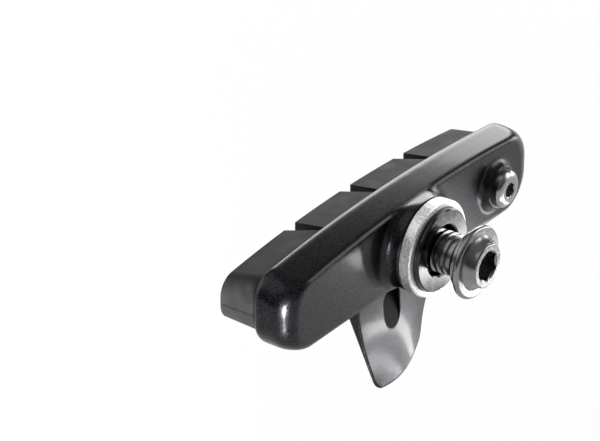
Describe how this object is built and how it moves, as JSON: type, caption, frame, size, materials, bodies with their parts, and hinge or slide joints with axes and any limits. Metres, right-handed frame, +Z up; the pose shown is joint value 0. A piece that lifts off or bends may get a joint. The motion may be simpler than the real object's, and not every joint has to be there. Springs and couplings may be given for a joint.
{
  "type": "bicycle rim brake pad",
  "caption": "Road bicycle brake shoe: slotted rubber pad in an aluminium holder with a wheel-guide fin, held on the brake arm by a flanged bolt and spherical washers.",
  "frame": {"origin": "on the fixing bolt's axis, in the outer face of the convex washer, where the brake arm rests", "axes": "+X along the shoe towards the pad screw and the open end of the channel, +Y along the bolt towards the wheel rim, +Z up, away from the wheel-guide fin"},
  "size_m": [0.059, 0.0243, 0.0251],
  "materials": {
    "holder_alloy": "dark satin anodised, bright bare edges on the fin",
    "pad_rubber": "matte moulded",
    "screw_steel": "satin",
    "washer_alloy": "blasted, bright",
    "washer_steel": "dark polished",
    "bolt_steel": "polished"
  },
  "bodies": {
    "seat": {"convex_washer": "washer_steel"},
    "shoe": {"shoe_holder": "holder_alloy", "brake_pad": "pad_rubber", "pad_screw": "screw_steel", "concave_washer": "washer_alloy"},
    "bolt": {"fixing_bolt": "bolt_steel"}
  },
  "joints": [
    {"name": "toe_in", "type": "hinge", "parent": "seat", "child": "shoe", "pos_m": [0, -0.00961, 0], "axis": [0, 0, 1], "range_deg": [-3, 3]},
    {"name": "bolt_travel", "type": "slide", "parent": "shoe", "child": "bolt", "axis": [0, 1, 0], "range_m": [-0.003, 0.0005]}
  ]
}
